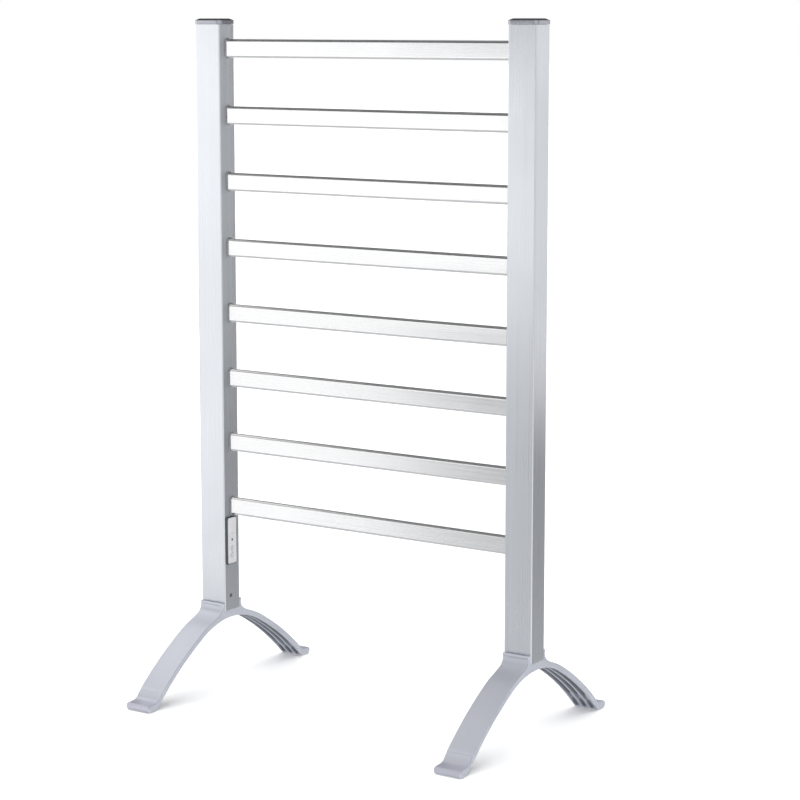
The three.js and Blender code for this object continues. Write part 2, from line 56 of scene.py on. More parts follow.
SIDES = (("left", -1), ("right", 1))
BAR_COUNT = 8
CLEARANCE = 0.3
OVERCUT = 1.0  # how far a cutter reaches past the surface that it cuts
EDGE_BREAK = 0.25  # the small chamfer on the posts' ends and in the bushes' mouths

POST_WALL = 1.6
POST_CORNER = 1.6
POST_BORE_CORNER = 0.8
CAP_SIDE = 5.0  # height of the cap's upright edge
CAP_BEVEL = 2.2  # height of the bevel above it
CAP_INSET = 5.8  # how far the bevel leans in
CAP_CORNER = 6.2
CAP_OVERHANG = 1.7
CAP_SKIRT = 12.0
CAP_SKIRT_WALL = 1.6
CAP_LID_DROP = 0.6  # how far the lid's inside lies below the brim
BAR_CORNER = 3.6
BAR_WALL = 1.2
BUSH_MARGIN = 1.9
BUSH_FLANGE = 0.8
BUSH_SLEEVE = 1.0
BUSH_INSIDE = 3.5  # length of the sleeve inside the post
BUSH_ROUNDING = 0.5

ARCH_TOP = 93.0
CROWN_RADIUS = 125.0
CROWN_ANGLE = math.radians(28.5)
LEG_RADIUS = 450.0
LEG_THICKNESS = 7.5
LEG_END = 152.0
SKIN_THICKNESS = 2.4
GROOVE_WIDTH = 8.8
GROOVE_SPACING = 11.4
GROOVE_START = 44.0
SADDLE_FLOOR = 103.85
SADDLE_GAP = 0.15
WALL_TOP = 115.5
WALL_OUTER = 20.4
LIP_HEIGHT = 3.0
LIP_REACH = 0.9
LIP_SLANT = 0.6
FLARE_END = 42.0
FLARE_UPPER_HANDLE = (0.6, 101.0)  # out from the wall, and its height
FLARE_LOWER_HANDLE = (12.0, 5.0)  # in from the flare's end, and above it
SPIGOT_TOP = 137.4
SPIGOT_WALL = 3.0
SPIGOT_CORNER = 1.5
SPIGOT_BORE_CORNER = 1.0
FOOT_EDGE = 1.5

TOE_TIP = 181.4
TOE_HEIGHT = 9.8
LEVEL_Y = 167.6  # centre of the curve that levels the leg's top out onto the toe
LEVEL_RISE = 13.7  # its height above the toe's top
LEVEL_RADIUS = 13.0
LEVEL_END = 0.06  # radians that the curve stops short of its lowest point
TIP_UPPER_RADIUS = 4.3
TIP_LOWER_RADIUS = 3.8
TIP_LOWER_Z = 4.6
TIP_TUCK = 0.2  # radians that the tip's lower rounding goes on under the toe
HEEL_RADIUS = 10.0
HEEL_SHARE = 0.68  # the heel meets the leg's slope this share of its radius before the sole
HEEL_HOLLOW_END = 166.5
SOLE_START = 168.0
SOLE_END = 174.0
SHOE_EDGE = 1.8
TONGUE_LENGTH = 7.0
TONGUE_ROOT = 2.0  # how deep the tongue starts inside the shoe
TONGUE_THICKNESS = 1.0
TONGUE_GAP = 0.2  # between the tongue and the groove's ceiling
HOLLOW_DROP = 0.7  # from the tongue's top to the ceiling of the shoe's hollows

SCREW_RADIUS = 1.8
SCREW_HOLE_RADIUS = 2.9
SCREW_BORE_RADIUS = 2.1
CROSS_ARM = 1.4  # half the length and half the width of the cross recess
CROSS_HALF_WIDTH = 0.35
CROSS_START = 1.6  # its cutter starts this far above the screw's seat, just clear of the head
CROSS_DEPTH = 1.0
GLAND_HOLE_RADIUS = 6.3
GLAND_INSIDE = 8.0
GLAND_FLUTES = 12
FLUTE_CIRCLE = 9.6  # radius of the circle that the flutes are centred on
FLUTE_RADIUS = 1.5
FLUTE_LENGTH = 5.0
EARTH_HOLE_RADIUS = 2.1
EARTH_HEAD = 2.5  # how proud of the post the earth screw's head stands
EARTH_SLOT = (4.0, 0.4, 1.5)  # its slot: half length, half width and floor's height off the post

MODULE_PROUD = 3.5
MODULE_CORNER = 2.6  # of the housing's flange
BOX_SIZE = (14.4, 54.0)  # of the housing's box inside the post, along Y and Z
BOX_DEPTH = 17.0
BOX_WALL = 1.4
BOX_CORNER = 1.2
BOX_BORE_CORNER = 0.8
WINDOW_CORNER = 1.0
RECESS_SIZE = (18.6, 64.0)  # that the face plate lies in
RECESS_FLOOR = 2.2
RECESS_CORNER = 2.0
LEAD_SLOT = (-20.0, -14.0)  # through the box's back, from the post's inner face
LEAD_SLOT_HALF_WIDTH = 4.0
LEAD_SLOT_TOP = 12.0  # below the module's middle
LEAD_SLOT_HEIGHT = 20.0
PLATE_PROUD = 3.7
PLATE_THICKNESS = 1.2
PLATE_CORNER = 1.8
BUTTON_RADIUS = 3.4
BUTTON_PROUD = 0.5
BUTTON_FLANGE = 1.0  # width and thickness of the flange behind the plate
STEM_RADIUS = 1.5
CONTROL_HOLES = (("power_button", 3.8), ("timer_button", 3.8), ("indicator_lens", 1.9))
PRINT_HEIGHT = 10.0  # the printed line, above the plate's middle
PRINT_HALF_LENGTH = 3.2
PRINT_HALF_WIDTH = 0.45


def centre_mm(node):
    low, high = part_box(node)
    return (low + high) / (2 * MM)


def size_mm(node):
    low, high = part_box(node)
    return (high - low) / MM


POST_SIZE = size_mm("left_upright")
INNER_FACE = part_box("right_upright")[0].x / MM
BAR_SIZE = size_mm("bar_1")
FOOT_WIDTH = size_mm("left_foot").x


# ---------------------------------------------------------------- outlines


def rounded_rect(width, height, radius, steps=6, centre=(0, 0)):
    """A rounded rectangle as points, anticlockwise."""
    points = []
    for quarter, (sx, sy) in enumerate(((1, 1), (-1, 1), (-1, -1), (1, -1))):
        u = centre[0] + sx * (width / 2 - radius)
        v = centre[1] + sy * (height / 2 - radius)
        for step in range(steps + 1):
            angle = math.radians(90 * (quarter + step / steps))
            points.append((u + radius * math.cos(angle), v + radius * math.sin(angle)))
    return points


def arc(u, v, radius, start, end, steps=12):
    angles = [start + (end - start) * step / steps for step in range(steps + 1)]
    return [(u + radius * math.cos(angle), v + radius * math.sin(angle)) for angle in angles]


def circle(u, v, radius, steps):
    return arc(u, v, radius, 0, 2 * math.pi, steps)[:-1]


def bezier(p0, p1, p2, p3, steps=12):
    points = []
    for step in range(steps + 1):
        t = step / steps
        weights = ((1 - t) ** 3, 3 * t * (1 - t) ** 2, 3 * t * t * (1 - t), t ** 3)
        points.append(tuple(sum(w * p[i] for w, p in zip(weights, (p0, p1, p2, p3))) for i in (0, 1)))
    return points


def moved(points, u, v):
    return [(point[0] + u, point[1] + v) for point in points]


def without_repeats(points, gap=0.02):
    kept = [points[0]]
    for point in points[1:]:
        if math.dist(point, kept[-1]) > gap:
            kept.append(point)
    if math.dist(kept[0], kept[-1]) <= gap:
        kept.pop()
    return kept


def inset(points, distance):
    """Moves an anticlockwise outline inwards, every side by the same distance."""
    inner = []
    for before, here, after in zip(points[-1:] + points[:-1], points, points[1:] + points[:1]):
        a = Vector(here) - Vector(before)
        b = Vector(after) - Vector(here)
        na = Vector((-a.y, a.x)).normalized()
        nb = Vector((-b.y, b.x)).normalized()
        step = (na + nb) * (distance / (1 + na.dot(nb)))
        inner.append((here[0] + step.x, here[1] + step.y))
    return inner


def anticlockwise(points):
    area = sum(p[0] * q[1] - q[0] * p[1] for p, q in zip(points, points[1:] + points[:1]))
    return points if area > 0 else points[::-1]


def along_x(points, x):
    return [(x, u, v) for u, v in points]


def along_z(points, z):
    return [(u, v, z) for u, v in points]


# ---------------------------------------------------------------- skins


def skin(rings, closed=False):
    """One skin through equal rings of points, closed on itself or with flat ends."""
    made = bmesh.new()
    rows = [[made.verts.new(point) for point in ring] for ring in rings]
    pairs = list(zip(rows, rows[1:]))
    if closed:
        pairs.append((rows[-1], rows[0]))
    for low, high in pairs:
        count = len(low)
        for i in range(count):
            made.faces.new((low[i], low[(i + 1) % count], high[(i + 1) % count], high[i]))
    if not closed:
        made.faces.new(rows[0][::-1])
        made.faces.new(rows[-1])
    bmesh.ops.recalc_face_normals(made, faces=made.faces)
    return made


def prism_x(points, start, end):
    return skin([along_x(points, start), along_x(points, end)])


def rounded_plate(points, width, edge, centre_x, steps=5):
    """An outline in (Y, Z) as a plate along X, with its two side edges rounded."""
    outline = anticlockwise(without_repeats(points))
    rings = []
    for side in (-1, 1):
        order = range(steps, -1, -1) if side < 0 else range(steps + 1)
        for step in order:
            angle = math.radians(90 * step / steps)
            x = centre_x + side * (width / 2 - edge + edge * math.sin(angle))
            rings.append(along_x(inset(outline, edge * (1 - math.cos(angle))), x))
    return skin(rings)


def turned(steps, axis_from, direction, segments=48, closed=False):
    """A turned skin: steps of (distance along the axis, radius), from a point along +X, -X or +Y."""
    rings = []
    for along, radius in steps:
        ring = []
        for i in range(segments):
            angle = 2 * math.pi * i / segments
            u, v = radius * math.cos(angle), radius * math.sin(angle)
            if direction == "y":
                ring.append((axis_from[0] + u, axis_from[1] + along, axis_from[2] + v))
            else:
                sign = 1 if direction == "x" else -1
                ring.append((axis_from[0] + sign * along, axis_from[1] + u, axis_from[2] + v))
        rings.append(ring)
    return skin(rings, closed)


def block(low, high):
    points = [(low[0], low[1]), (high[0], low[1]), (high[0], high[1]), (low[0], high[1])]
    return skin([along_z(points, low[2]), along_z(points, high[2])])


def scratch_object(shape):
    mesh = bpy.data.meshes.new("scratch")
    shape.to_mesh(mesh)
    shape.free()
    made = bpy.data.objects.new("scratch", mesh)
    bpy.context.scene.collection.objects.link(made)
    return made


def carve(base, tools, operation="DIFFERENCE"):
    """Cuts every tool out of a skin, or joins it on, and gives back one skin."""
    body = scratch_object(base)
    cutters = [scratch_object(tool) for tool in tools]
    for cutter in cutters:
        modifier = body.modifiers.new("carve", "BOOLEAN")
        modifier.object = cutter
        modifier.operation = operation
        modifier.solver = "EXACT"
    result = bmesh.new()
    result.from_object(body, bpy.context.evaluated_depsgraph_get())
    for used in (body, *cutters):
        mesh = used.data
        bpy.data.objects.remove(used)
        bpy.data.meshes.remove(mesh)
    return result


def piece(name, shape, slot, body, *nodes):
    """Makes a finished piece that rides on a body and stands for the CAD nodes."""
    bmesh.ops.remove_doubles(shape, verts=shape.verts, dist=MERGE_DISTANCE)
    bmesh.ops.dissolve_degenerate(shape, edges=shape.edges, dist=MERGE_DISTANCE)
    bmesh.ops.recalc_face_normals(shape, faces=shape.faces)
    bmesh.ops.scale(shape, vec=(MM, MM, MM), verts=shape.verts)
    mesh = bpy.data.meshes.new(name)
    shape.to_mesh(mesh)
    shape.free()
    mesh.polygons.foreach_set("use_smooth", [True] * len(mesh.polygons))
    mesh.set_sharp_from_angle(angle=SHARP_ANGLE)
    mesh.materials.append(MATERIALS[slot])
    made = bpy.data.objects.new(name, mesh)
    bpy.context.scene.collection.objects.link(made)
    normals = made.modifiers.new("weighted_normals", "WEIGHTED_NORMAL")
    normals.keep_sharp = True
    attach(made, body)
    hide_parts(*nodes)
    return made


# ---------------------------------------------------------------- materials


class Nodes:
    """A node material on the object's own coordinates, in metres."""

    def __init__(self, name):
        self.material = bpy.data.materials.new(name)
        self.material.use_nodes = True
        self.tree = self.material.node_tree
        self.shader = self.tree.nodes["Principled BSDF"]
        self.place = self.tree.nodes.new("ShaderNodeTexCoord").outputs["Object"]

    def link(self, source, target):
        self.tree.links.new(source, target)

    def set(self, **values):
        for name, value in values.items():
            self.shader.inputs[name.replace("_", " ")].default_value = value

    def noise(self, scale, detail=3.0, roughness=0.55):
        """Noise at one scale, or at one for each of X, Y and Z, which draws it out into grain."""
        mapping = self.tree.nodes.new("ShaderNodeMapping")
        mapping.inputs["Scale"].default_value = scale if isinstance(scale, tuple) else (scale,) * 3
        self.link(self.place, mapping.inputs["Vector"])
        texture = self.tree.nodes.new("ShaderNodeTexNoise")
        texture.inputs["Scale"].default_value = 1.0
        texture.inputs["Detail"].default_value = detail
        texture.inputs["Roughness"].default_value = roughness
        self.link(mapping.outputs["Vector"], texture.inputs["Vector"])
        return texture.outputs["Fac"]

    def ranged(self, source, low, high, start=0.3, end=0.7):
        node = self.tree.nodes.new("ShaderNodeMapRange")
        node.inputs["From Min"].default_value = start
        node.inputs["From Max"].default_value = end
        node.inputs["To Min"].default_value = low
        node.inputs["To Max"].default_value = high
        self.link(source, node.inputs["Value"])
        return node.outputs["Result"]

    def maths(self, operation, *values):
        node = self.tree.nodes.new("ShaderNodeMath")
        node.operation = operation
        for socket, value in zip(node.inputs, values):
            if isinstance(value, (int, float)):
                socket.default_value = value
            else:
                self.link(value, socket)
        return node.outputs["Value"]

    def coordinate(self, vector, axis):
        split = self.tree.nodes.new("ShaderNodeSeparateXYZ")
        self.link(vector, split.inputs["Vector"])
        return split.outputs[axis]

    def blended(self, amount, first, second):
        node = self.tree.nodes.new("ShaderNodeMix")
        node.data_type = "RGBA"
        self.link(amount, node.inputs["Factor"])
        for name, value in (("A", first), ("B", second)):
            socket = [s for s in node.inputs if s.name == name and s.type == "RGBA"][0]
            if isinstance(value, tuple):
                socket.default_value = (*value, 1.0)
            else:
                self.link(value, socket)
        return [s for s in node.outputs if s.type == "RGBA"][0]

    def edges(self, start=0.52, end=0.62):
        """Near 1 on convex edges and 0 on flat ground."""
        geometry = self.tree.nodes.new("ShaderNodeNewGeometry")
        return self.ranged(geometry.outputs["Pointiness"], 0.0, 1.0, start, end)

    def finish(self, colour, roughness, height, strength, distance):
        self.link(colour, self.shader.inputs["Base Color"])
        self.link(roughness, self.shader.inputs["Roughness"])
        bump = self.tree.nodes.new("ShaderNodeBump")
        bump.inputs["Strength"].default_value = strength
        bump.inputs["Distance"].default_value = distance
        self.link(height, bump.inputs["Height"])
        self.link(bump.outputs["Normal"], self.shader.inputs["Normal"])
        return self.material


SURFACE_IOR = 1.5  # of anodising, lacquer and hard plastic
FLANK_LIGHT_GAIN = 1.38  # painted light: the legs' flanks are painted paler than their tops
PAINTED_SHADE_REACH = 0.012  # m, how near a wall has to be for painted shade in a hollow


def scaled(colour, factor):
    return tuple(min(1.0, channel * factor) for channel in colour)


def extruded_metal(name, colour, roughness, grain, metallic=1.0):
    """Anodised aluminium: die lines along the extrusion, cloudy etching and bright worn edges."""
    nodes = Nodes(name)
    nodes.set(Metallic=metallic, IOR=SURFACE_IOR)
    lines = nodes.noise(grain, detail=2.0, roughness=0.6)
    clouds = nodes.noise(9, detail=2.0)
    speckle = nodes.noise(2600, detail=1.0)
    lined = nodes.blended(nodes.ranged(lines, 0, 1), scaled(colour, 0.95), scaled(colour, 1.04))
    clouded = nodes.blended(nodes.ranged(clouds, 0, 0.3), lined, scaled(colour, 0.9))
    worn = nodes.blended(nodes.maths("MULTIPLY", nodes.edges(), 0.45), clouded, scaled(colour, 1.2))
    varied = nodes.maths("ADD", nodes.ranged(lines, -0.035, 0.035), nodes.ranged(clouds, -0.02, 0.02))
    rough = nodes.maths("ADD", varied, roughness)
    height = nodes.maths("ADD", lines, nodes.maths("MULTIPLY", speckle, 0.35))
    return nodes.finish(worn, rough, height, 0.12, 0.0002)


def painted(name, colour, roughness, metallic, toe_colour=None):
    """Silver-grey finish: fine flake, faint orange peel, rubbed edges, painted light on the flanks,
    painted shade in the hollows.

    With a toe colour, the colour drifts to it over the first part of the toe.
    """
    nodes = Nodes(name)
    nodes.set(Metallic=metallic, IOR=SURFACE_IOR, Coat_Weight=0.1, Coat_Roughness=0.3)
    flake = nodes.noise(1500, detail=2.0, roughness=0.7)
    peel = nodes.noise(260, detail=2.0)
    clouds = nodes.noise(14)
    base = colour
    if toe_colour:
        out = nodes.maths("ABSOLUTE", nodes.coordinate(nodes.place, "Y"))
        base = nodes.blended(nodes.ranged(out, 0, 1, LEG_END * MM, SOLE_START * MM), colour, toe_colour)
    # Painted light: faces that turn sideways are painted paler, in place of the brighter light that
    # falls on the legs' flanks.
    geometry = nodes.tree.nodes.new("ShaderNodeNewGeometry")
    sideways = nodes.maths("ABSOLUTE", nodes.coordinate(geometry.outputs["Normal"], "X"))
    flank_light_mask = nodes.ranged(sideways, 0, 1, 0.55, 0.95)
    flank_lit = nodes.blended(flank_light_mask, base, scaled(colour, FLANK_LIGHT_GAIN))
    clouded = nodes.blended(nodes.ranged(clouds, 0, 0.3), flank_lit, scaled(colour, 0.88))
    flaked = nodes.blended(nodes.ranged(flake, 0.12, 0), clouded, scaled(colour, 0.6))
    worn = nodes.blended(nodes.maths("MULTIPLY", nodes.edges(), 0.4), flaked, scaled(colour, 1.3))
    # Painted shade: ambient occlusion darkens the grooves and other hollows towards a dark tone, in
    # place of the shade that falls in them.
    occlusion_shade = nodes.tree.nodes.new("ShaderNodeAmbientOcclusion")
    occlusion_shade.inputs["Distance"].default_value = PAINTED_SHADE_REACH
    occlusion_shade.only_local = True
    hollow = nodes.ranged(occlusion_shade.outputs["AO"], 0.85, 0.0, 0.25, 0.85)
    shaded = nodes.blended(hollow, worn, scaled(colour, 0.22))
    rough = nodes.maths("ADD", nodes.ranged(flake, -0.05, 0.05), roughness)
    height = nodes.maths("ADD", peel, nodes.maths("MULTIPLY", flake, 0.3))
    return nodes.finish(shaded, rough, height, 0.12, 0.0003)


def moulded(name, colour, roughness, coat=0.0, texture=900.0, strength=0.15, wear=0.35, metallic=0.0):
    """Moulded plastic: a fine spark-eroded texture, slight mottling and paler rubbed edges."""
    nodes = Nodes(name)
    nodes.set(Metallic=metallic, IOR=SURFACE_IOR, Coat_Weight=coat, Coat_Roughness=0.08)
    grain = nodes.noise(texture, roughness=0.6)
    mottle = nodes.noise(40)
    mottled = nodes.blended(nodes.ranged(mottle, 0, 1), scaled(colour, 0.93), scaled(colour, 1.07))
    paler = tuple(channel + 0.12 * (1 - channel) for channel in colour)
    worn = nodes.blended(nodes.maths("MULTIPLY", nodes.edges(), wear), mottled, paler)
    rough = nodes.maths("ADD", nodes.ranged(grain, -0.05, 0.05), roughness)
    return nodes.finish(worn, rough, grain, strength, 0.0002)


def sleeved(name, colour, roughness=0.55):
    """Soft insulation: a faint extrusion ripple and scuffed patches."""
    nodes = Nodes(name)
    nodes.set(Metallic=0.0, IOR=1.45)
    ripple = nodes.noise(700, detail=2.0)
    scuffs = nodes.noise(60, detail=4.0)
    scuffed = nodes.blended(nodes.ranged(scuffs, 0, 1), scaled(colour, 0.82), scaled(colour, 1.15))
    rough = nodes.maths("ADD", nodes.ranged(scuffs, -0.08, 0.08), roughness)
    return nodes.finish(scuffed, rough, ripple, 0.2, 0.0002)


def plate_face(name, colour):
    """The control plate: satin plastic with one thin printed line above the controls."""
    nodes = Nodes(name)
    nodes.set(Metallic=0.0, IOR=SURFACE_IOR, Coat_Weight=0.15, Coat_Roughness=0.2)
    grain = nodes.noise(1200, detail=2.0)
    mottle = nodes.noise(50, detail=2.0)
    mottled = nodes.blended(nodes.ranged(mottle, 0, 1), scaled(colour, 0.94), scaled(colour, 1.04))
    middle = centre_mm("control_face_plate") * MM
    line_z = middle.z + PRINT_HEIGHT * MM
    across = nodes.coordinate(nodes.place, "Y")
    up = nodes.coordinate(nodes.place, "Z")
    near_y = nodes.maths("COMPARE", across, middle.y, PRINT_HALF_LENGTH * MM)
    near_z = nodes.maths("COMPARE", up, line_z, PRINT_HALF_WIDTH * MM)
    line = nodes.maths("MULTIPLY", nodes.maths("MULTIPLY", near_y, near_z), 0.5)
    printed = nodes.blended(line, mottled, scaled(colour, 0.45))
    rough = nodes.maths("ADD", nodes.ranged(grain, -0.04, 0.04), 0.4)
    return nodes.finish(printed, rough, grain, 0.1, 0.0001)


LENGTHWISE = (900, 900, 1.5)  # grain scales: die lines that run up the posts,
CROSSWISE = (1.5, 900, 900)  # die lines along the bars,
DRAWN_CAN = (600, 12, 600)  # the drawn can of a thermal cut-out
SCREW_GRAIN = 300  # and even grain on the screws

FOOT_COLOUR = (0.64, 0.66, 0.72)
TOE_COLOUR = (0.62, 0.62, 0.72)

MATERIALS = {
    "anodised_post": extruded_metal("anodised_post", (0.76, 0.78, 0.81), 0.30, LENGTHWISE, 0.97),
    "anodised_bar": extruded_metal("anodised_bar", (0.9, 0.89, 0.885), 0.25, CROSSWISE, 0.95),
    "cast_foot": painted("cast_foot", FOOT_COLOUR, 0.42, 0.6),
    "toe_shoe": painted("toe_shoe", FOOT_COLOUR, 0.42, 0.6, TOE_COLOUR),
    "cap_plastic": moulded("cap_plastic", (0.44, 0.44, 0.48), 0.2, metallic=0.93),
    "bush_plastic": moulded("bush_plastic", (0.36, 0.36, 0.38), 0.5),
    "gland_plastic": moulded("gland_plastic", (0.03, 0.03, 0.034), 0.45),
    "housing_gloss": moulded("housing_gloss", (0.012, 0.013, 0.015), 0.2, coat=0.6, strength=0.04),
    "face_plate": plate_face("face_plate", (0.74, 0.74, 0.76)),
    "button_plastic": moulded("button_plastic", (0.6, 0.6, 0.62), 0.42),
    "smoked_lens": moulded("smoked_lens", (0.1, 0.1, 0.11), 0.1, coat=1.0, strength=0.02, wear=0.1),
    "dark_screw": extruded_metal("dark_screw", (0.3, 0.3, 0.31), 0.4, SCREW_GRAIN, 0.8),
    "plated_screw": extruded_metal("plated_screw", (0.62, 0.62, 0.58), 0.3, SCREW_GRAIN),
    "board_laminate": moulded("board_laminate", (0.02, 0.12, 0.05), 0.4, texture=1600.0),
    "component_black": moulded("component_black", (0.02, 0.02, 0.022), 0.5),
    "lamp_amber": moulded("lamp_amber", (0.8, 0.25, 0.05), 0.2, coat=0.5, strength=0.05),
    "heating_sleeve": sleeved("heating_sleeve", (0.35, 0.06, 0.05)),
    "terminal_white": moulded("terminal_white", (0.75, 0.73, 0.68), 0.5),
    "cutout_metal": extruded_metal("cutout_metal", (0.6, 0.6, 0.6), 0.35, DRAWN_CAN),
    "wire_brown": sleeved("wire_brown", (0.15, 0.06, 0.03)),
    "wire_blue": sleeved("wire_blue", (0.03, 0.12, 0.4)),
}


def finish_nodes():
    """Gives every CAD node its material: the ones inside the posts and the housing stay as they are.

    Reflected rays pass through the posts and bars, so they pass through these nodes too.
    """
    for part in frame["record"]["subparts"]:
        node = frame["nodes"][part["node"]]
        node.data.materials.clear()
        node.data.materials.append(MATERIALS[part["material_slot"]])
        node.visible_glossy = False


# ---------------------------------------------------------------- posts, caps, bars and bushes


def bar_section(margin, steps=6):
    """The bar's outline in (Y, Z) about its own axis, grown by a margin."""
    return rounded_rect(BAR_SIZE.y + 2 * margin, BAR_SIZE.z + 2 * margin, BAR_CORNER + margin, steps)


def make_post(side, sign):
    node = f"{side}_upright"
    x = centre_mm(node).x
    low, high = (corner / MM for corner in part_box(node))
    wall = (INNER_FACE - OVERCUT, INNER_FACE + POST_WALL + OVERCUT)
    start, end = (-wall[1], -wall[0]) if sign < 0 else wall

    def ring(grow, radius, z):
        return along_z(rounded_rect(POST_SIZE.x + grow, POST_SIZE.y + grow, radius, 8, (x, 0)), z)

    bore = -2 * POST_WALL
    rings = [
        ring(-2 * EDGE_BREAK, POST_CORNER - EDGE_BREAK, low.z),
        ring(0, POST_CORNER, low.z + EDGE_BREAK),
        ring(0, POST_CORNER, high.z - EDGE_BREAK),
        ring(-2 * EDGE_BREAK, POST_CORNER - EDGE_BREAK, high.z),
        ring(bore, POST_BORE_CORNER, high.z),
        ring(bore, POST_BORE_CORNER, low.z),
    ]
    tools = []
    hole = bar_section(BUSH_SLEEVE + 2 * CLEARANCE)
    for index in range(BAR_COUNT):
        bar = centre_mm(f"bar_{index + 1}")
        tools.append(prism_x(moved(hole, bar.y, bar.z), start, end))
    screw = centre_mm(f"{side}_foot_screw")
    tools.append(prism_x(circle(screw.y, screw.z, SCREW_HOLE_RADIUS, 32), start, end))
    if sign < 0:
        middle = centre_mm("circuit_board")
        window_size = [length + 2 * CLEARANCE for length in BOX_SIZE]
        window = rounded_rect(*window_size, WINDOW_CORNER, 4, (middle.y, middle.z))
        tools.append(prism_x(window, start, end))
        for name, radius in (("cord_gland", GLAND_HOLE_RADIUS), ("earth_screw", EARTH_HOLE_RADIUS)):
            place = centre_mm(name)
            steps = [(-2 * POST_WALL, radius), (2 * POST_WALL, radius)]
            tools.append(turned(steps, (place.x, POST_SIZE.y / 2, place.z), "y", 32))
    tube = skin(rings, closed=True)
    made = piece(f"{side}_post", carve(tube, tools), "anodised_post", "frame", node)
    made.visible_glossy = False  # the posts and bars mirror the studio and not each other


def make_cap(side):
    node = f"{side}_top_cap"
    middle = centre_mm(node)
    size = size_mm(node)
    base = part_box(node)[1].z / MM - CAP_SIDE - CAP_BEVEL

    def ring(shrink, height):
        """shrink is how far the ring stands in from the cap's side, height is above the brim's foot."""
        radius = max(CAP_CORNER - shrink, 0.5)
        points = rounded_rect(size.x - 2 * shrink, size.y - 2 * shrink, radius, 8, (middle.x, middle.y))
        return along_z(points, base + height)

    skirt = CAP_OVERHANG + POST_WALL + CLEARANCE
    top = CAP_SIDE + CAP_BEVEL
    # Three rings round each of the side's two edges and the bevel's top.
    rings = [
        ring(skirt + CAP_SKIRT_WALL, -CAP_LID_DROP),
        ring(skirt + CAP_SKIRT_WALL, -CAP_SKIRT),
        ring(skirt, -CAP_SKIRT),
        ring(skirt, 0),
        ring(0.3, 0),
        ring(0.08, 0.09),
        ring(0, 0.35),
        ring(0, CAP_SIDE - 0.4),
        ring(0.08, CAP_SIDE - 0.15),
        ring(0.35, CAP_SIDE + 0.08),
        ring(CAP_INSET - 0.5, top - 0.22),
        ring(CAP_INSET, top - 0.05),
        ring(CAP_INSET + 0.5, top),
    ]
    piece(f"{side}_cap", skin(rings), "cap_plastic", "frame", node)


def make_bar(index):
    node = f"bar_{index + 1}"
    middle = centre_mm(node)
    half = BAR_SIZE.x / 2
    outer = moved(bar_section(0, 8), middle.y, middle.z)
    bore = moved(bar_section(-BAR_WALL, 8), middle.y, middle.z)
    rings = [along_x(outer, -half), along_x(outer, half), along_x(bore, half), along_x(bore, -half)]
    made = piece(f"heated_{node}", skin(rings, closed=True), "anodised_bar", "frame", node)
    made.visible_glossy = False


def make_bush(side, sign, index):
    node = f"{side}_bush_{index + 1}"
    bar = centre_mm(f"bar_{index + 1}")

    def ring(margin, off):
        """off is how far the ring stands off the post's inner face, towards the middle."""
        return along_x(moved(bar_section(margin), bar.y, bar.z), sign * (INNER_FACE - off))

    front = BUSH_FLANGE + CLEARANCE
    sleeve = CLEARANCE + BUSH_SLEEVE
    halfway = 0.14  # how far the middle of the rounding stands in from its corner
    rings = [
        ring(CLEARANCE + EDGE_BREAK, front),
        ring(BUSH_MARGIN - BUSH_ROUNDING, front),
        ring(BUSH_MARGIN - halfway, front - halfway),
        ring(BUSH_MARGIN, front - BUSH_ROUNDING),
        ring(BUSH_MARGIN, CLEARANCE),
        ring(sleeve, CLEARANCE),
        ring(sleeve, -BUSH_INSIDE),
        ring(CLEARANCE, -BUSH_INSIDE),
        ring(CLEARANCE, front - EDGE_BREAK),
    ]
    piece(f"{side}_bush_ring_{index + 1}", skin(rings, closed=True), "bush_plastic", "frame", node)


# ---------------------------------------------------------------- feet

CROWN_Z = ARCH_TOP - CROWN_RADIUS
KNEE_Y = CROWN_RADIUS * math.sin(CROWN_ANGLE)
LEG_Y = KNEE_Y - LEG_RADIUS * math.sin(CROWN_ANGLE)
LEG_Z = CROWN_Z + CROWN_RADIUS * math.cos(CROWN_ANGLE) - LEG_RADIUS * math.cos(CROWN_ANGLE)


def leg_angle(y, offset):
    """The leg's slope where a line set off from its underside reaches y."""
    return math.asin((y - LEG_Y) / (LEG_RADIUS + offset))


def leg_height(y, offset):
    return LEG_Z + (LEG_RADIUS + offset) * math.cos(leg_angle(y, offset))


def leg_curve(offset, start, end, steps=18):
    angles = [math.pi / 2 - leg_angle(y, offset) for y in (start, end)]
    return arc(LEG_Y, LEG_Z, LEG_RADIUS + offset, *angles, steps)


def foot_outline():
    """The foot's outline in (Y, Z) with the saddle still filled: flared walls and two arched legs."""
    outer = CROWN_RADIUS + LEG_THICKNESS
    flare_angle = math.asin(FLARE_END / outer)
    flare_z = CROWN_Z + outer * math.cos(flare_angle)
    lip_foot = WALL_TOP - LIP_HEIGHT
    half = [(0, WALL_TOP), (WALL_OUTER + LIP_REACH, WALL_TOP), (WALL_OUTER + LIP_REACH, lip_foot)]
    half += bezier(
        (WALL_OUTER, lip_foot - LIP_SLANT),
        (WALL_OUTER + FLARE_UPPER_HANDLE[0], FLARE_UPPER_HANDLE[1]),
        (FLARE_END - FLARE_LOWER_HANDLE[0], flare_z + FLARE_LOWER_HANDLE[1]),
        (FLARE_END, flare_z),
    )
    half += arc(0, CROWN_Z, outer, math.pi / 2 - flare_angle, math.pi / 2 - CROWN_ANGLE, 6)
    half += leg_curve(LEG_THICKNESS, KNEE_Y + LEG_THICKNESS * math.sin(CROWN_ANGLE), LEG_END)
    half += leg_curve(0, LEG_END, KNEE_Y)
    half += arc(0, CROWN_Z, CROWN_RADIUS, math.pi / 2 - CROWN_ANGLE, math.pi / 2, 14)
    half = without_repeats(half)
    other = [(-y, z) for y, z in half[1:-1]]
    return half + other[::-1]


